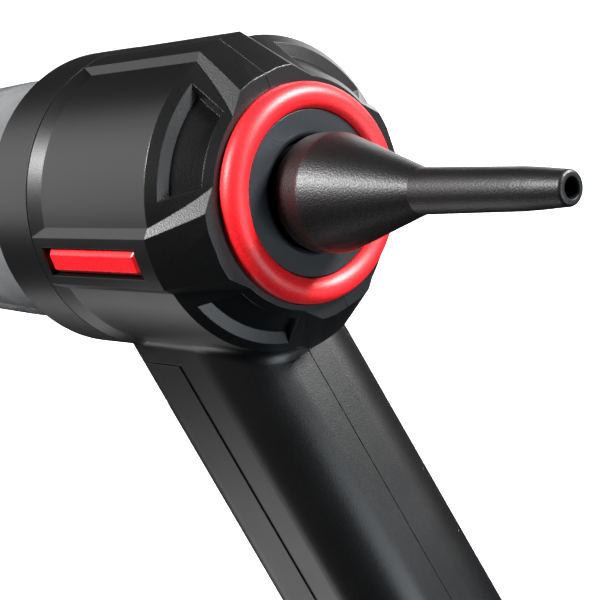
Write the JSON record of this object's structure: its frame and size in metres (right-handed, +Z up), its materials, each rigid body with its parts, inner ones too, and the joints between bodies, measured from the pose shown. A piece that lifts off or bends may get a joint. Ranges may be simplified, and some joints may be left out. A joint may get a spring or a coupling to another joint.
{
  "type": "handheld blower vacuum",
  "caption": "Cordless pistol-grip hand blower with a narrow push-fit nozzle, a clear rear dust cup and a slanted handle on a flared foot.",
  "frame": {"origin": "centre of the foot's underside, on the surface that the tool stands on", "axes": "+X towards the nozzle, parallel to the barrel axis; +Z up; the XZ plane is the parting plane of the two housing halves"},
  "size_m": [0.278, 0.091, 0.2135],
  "materials": {
    "casing": "fine grained charcoal",
    "cover": "fine grained charcoal",
    "red": "satin red",
    "plate": "blue-grey, grained",
    "black": "satin black",
    "clear": "clear, faintly smoky",
    "rubber": "soft matte",
    "button": "satin",
    "lens": "frosted clear",
    "inner": "plain grey moulding",
    "steel": "plain steel",
    "screw": "black oxide",
    "motor": "satin can",
    "winding": "steel laminations with copper windings",
    "magnet": "plated magnet",
    "board": "green circuit board with parts",
    "heat_sink": "extruded",
    "cell": "blue sleeved cells",
    "nickel": "nickel strip",
    "paper": "pleated filter paper",
    "filter_frame": "dark moulding"
  },
  "bodies": {
    "root": {"right_housing": "casing", "left_housing": "casing", "housing_screws": "screw", "screw_plugs": "casing", "rear_collar": "casing", "outlet_ring": "red", "outlet_plate": "plate", "outlet_seal": "rubber", "grip_cover": "cover", "grip_pad": "rubber", "status_lens": "lens", "button_board": "board", "base_cap": "casing", "foot_pad": "rubber", "battery_cells": "cell", "cell_holder": "inner", "cell_strips": "nickel", "driver_board": "board", "heat_sink": "heat_sink", "charge_board": "board", "usb_socket": "steel", "bulkhead": "inner", "fan_shroud": "inner", "damper_rings": "rubber", "diffuser": "inner", "motor_can": "motor", "stator": "winding", "motor_bearings": "steel", "outlet_duct": "inner", "cup_seal": "rubber", "right_latch_spring": "steel", "left_latch_spring": "steel"},
    "rotor": {"motor_shaft": "steel", "impeller": "black", "rotor_magnet": "magnet"},
    "right_release": {"right_release_button": "red", "right_latch": "black"},
    "left_release": {"left_release_button": "red", "left_latch": "black"},
    "cup": {"dust_cup": "clear", "intake_nose": "black", "flap_pin": "steel"},
    "flap": {"inlet_flap": "rubber"},
    "filter": {"filter_frame": "filter_frame", "filter_pleats": "paper", "filter_seal": "rubber"},
    "nozzle": {"nozzle": "black"},
    "power_button": {"power_button": "button"},
    "speed_button": {"speed_button": "button"},
    "port_flap": {"port_cover": "rubber"}
  },
  "joints": [
    {"name": "rotor_spin", "type": "hinge", "parent": "root", "child": "rotor", "pos_m": [-0.02102, 0, 0.168], "axis": [1, 0, 0], "continuous": true},
    {"name": "right_release_press", "type": "slide", "parent": "root", "child": "right_release", "axis": [0, 1, 0], "range_m": [0, 0.0018], "stiffness_N_per_m": 900, "springref_m": -0.003, "deforming": ["right_latch_spring"]},
    {"name": "left_release_press", "type": "slide", "parent": "root", "child": "left_release", "axis": [0, -1, 0], "range_m": [0, 0.0018], "stiffness_N_per_m": 900, "springref_m": -0.003, "deforming": ["left_latch_spring"]},
    {"name": "cup_pull", "type": "slide", "parent": "root", "child": "cup", "axis": [-1, 0, 0], "range_m": [0, 0.07]},
    {"name": "flap_swing", "type": "hinge", "parent": "cup", "child": "flap", "pos_m": [-0.12452, 0, 0.1855], "axis": [0, -1, 0], "range_deg": [0, 50]},
    {"name": "filter_pull", "type": "slide", "parent": "root", "child": "filter", "axis": [-1, 0, 0], "range_m": [0, 0.011]},
    {"name": "nozzle_pull", "type": "slide", "parent": "root", "child": "nozzle", "axis": [1, 0, 0], "range_m": [0, 0.03]},
    {"name": "power_press", "type": "slide", "parent": "root", "child": "power_button", "axis": [0.9583, 0, 0.2857], "range_m": [0, 0.0008], "stiffness_N_per_m": 1200, "springref_m": -0.0006},
    {"name": "speed_press", "type": "slide", "parent": "root", "child": "speed_button", "axis": [0.9583, 0, 0.2857], "range_m": [0, 0.0008], "stiffness_N_per_m": 1200, "springref_m": -0.0006},
    {"name": "port_open", "type": "hinge", "parent": "root", "child": "port_flap", "pos_m": [-0.043, 0, 0.00898], "axis": [0, 1, 0], "range_deg": [0, 110]}
  ]
}
